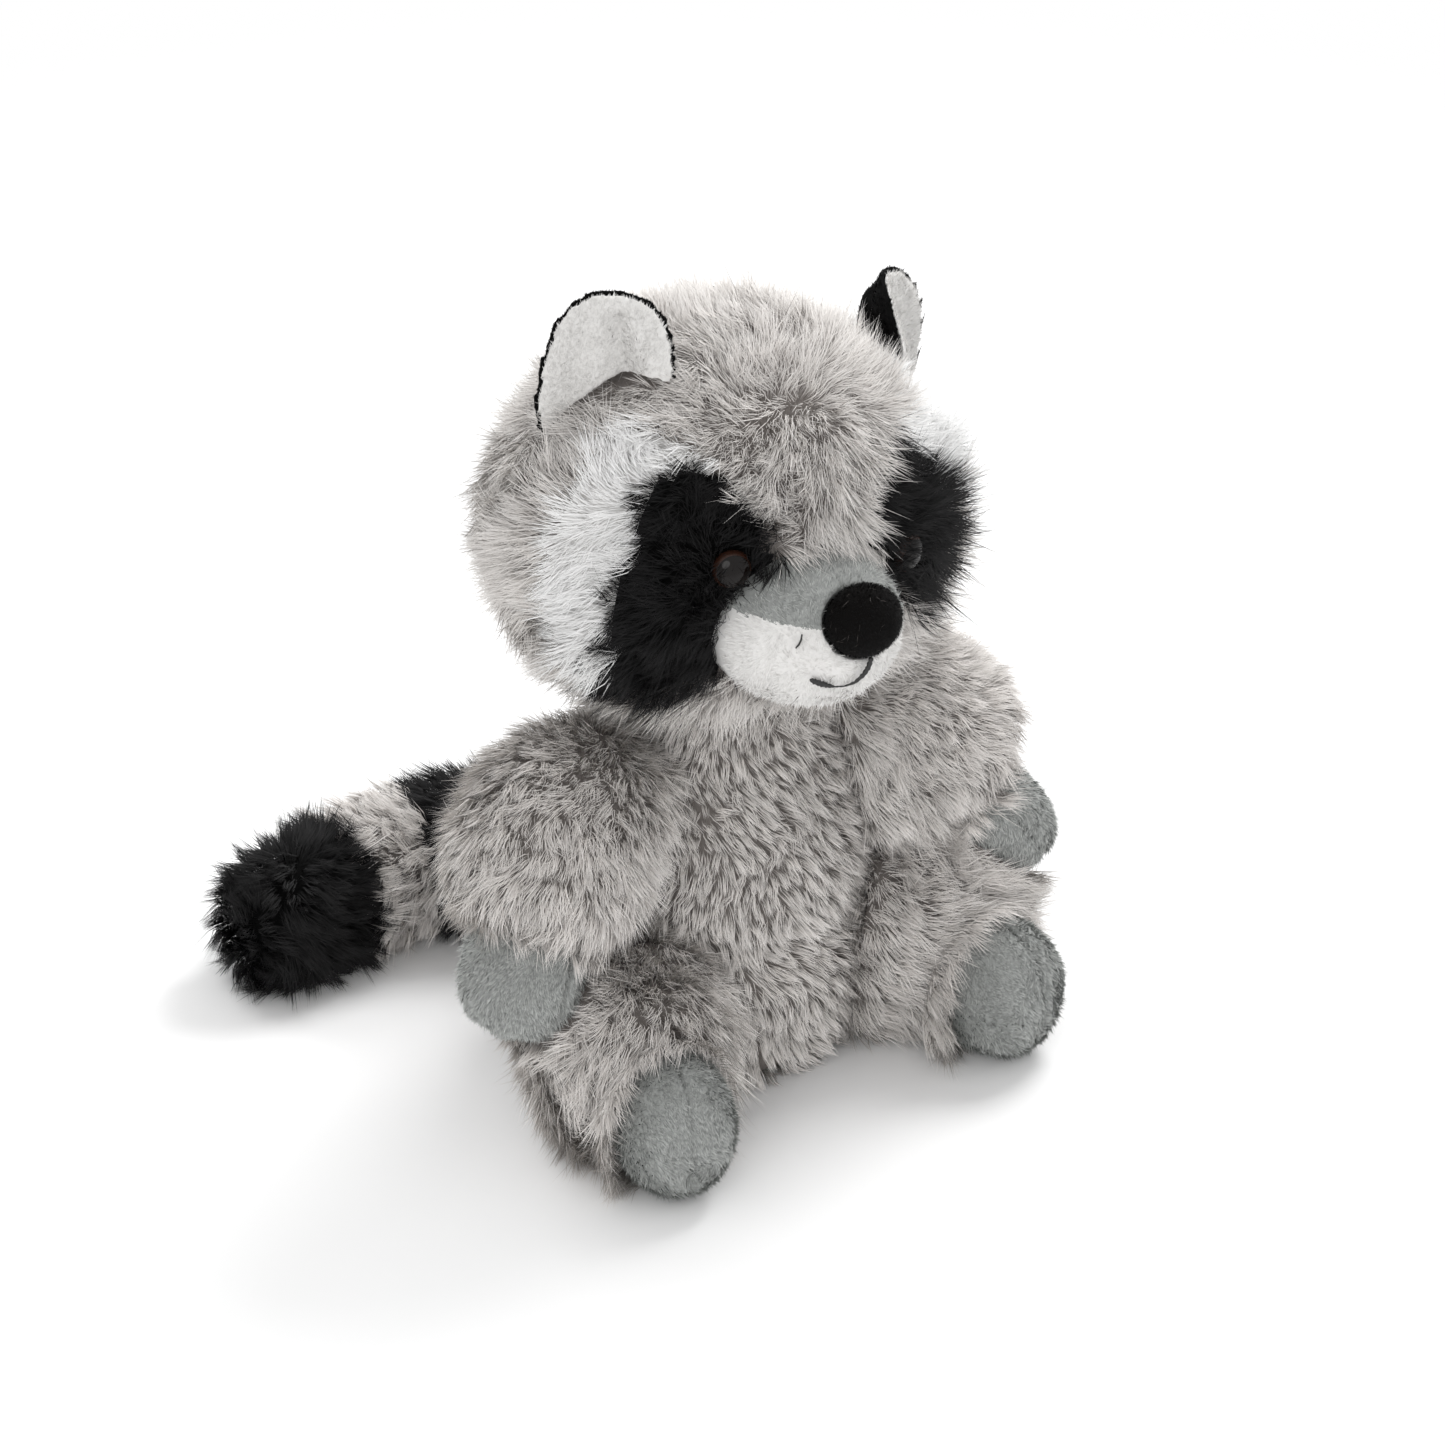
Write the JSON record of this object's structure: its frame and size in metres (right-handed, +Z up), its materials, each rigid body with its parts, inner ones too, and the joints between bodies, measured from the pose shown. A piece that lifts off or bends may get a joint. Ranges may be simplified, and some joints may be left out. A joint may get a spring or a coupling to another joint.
{
  "type": "plush raccoon",
  "caption": "Seated stuffed raccoon toy with long grey pile, black eye masks, white brows, short-pile muzzle, ears, hands and feet, plastic eyes and a ringed tail.",
  "frame": {"origin": "middle of the torso's flat seat, on the floor", "axes": "+Z up, the face and the feet point along -Y, the toy's left side is +X"},
  "size_m": [0.1733, 0.1863, 0.2223],
  "materials": {
    "long_grey": "long grey pile with darker roots",
    "long_black": "long black pile",
    "long_white": "long white pile",
    "short_grey": "short cool grey pile",
    "short_white": "short white pile",
    "short_black": "short black pile",
    "velvet": "black velvet",
    "thread": "black embroidery thread",
    "eye_plastic": "dark brown, polished",
    "washer_plastic": "natural moulded plastic"
  },
  "bodies": {
    "root": {"head": "long_grey", "mask_right": "long_black", "mask_left": "long_black", "cheek_right": "long_white", "cheek_left": "long_white", "muzzle_top": "short_grey", "muzzle_chin": "short_white", "nose": "velvet", "mouth_stitch": "thread", "eye_right": "eye_plastic", "eye_left": "eye_plastic", "eye_washer_right": "washer_plastic", "eye_washer_left": "washer_plastic", "ear_front_right": "short_white", "ear_front_left": "short_white", "ear_back_right": "short_black", "ear_back_left": "short_black", "torso": "long_grey", "arm_right": "long_grey", "arm_left": "long_grey", "hand_back_right": "short_grey", "hand_back_left": "short_grey", "hand_palm_right": "short_grey", "hand_palm_left": "short_grey", "leg_right": "long_grey", "leg_left": "long_grey", "foot_outer_right": "short_grey", "foot_outer_left": "short_grey", "foot_inner_right": "short_grey", "foot_inner_left": "short_grey", "tail_tip": "long_black", "tail_band_grey": "long_grey", "tail_band_black": "long_black", "tail_root": "long_grey"}
  },
  "joints": []
}
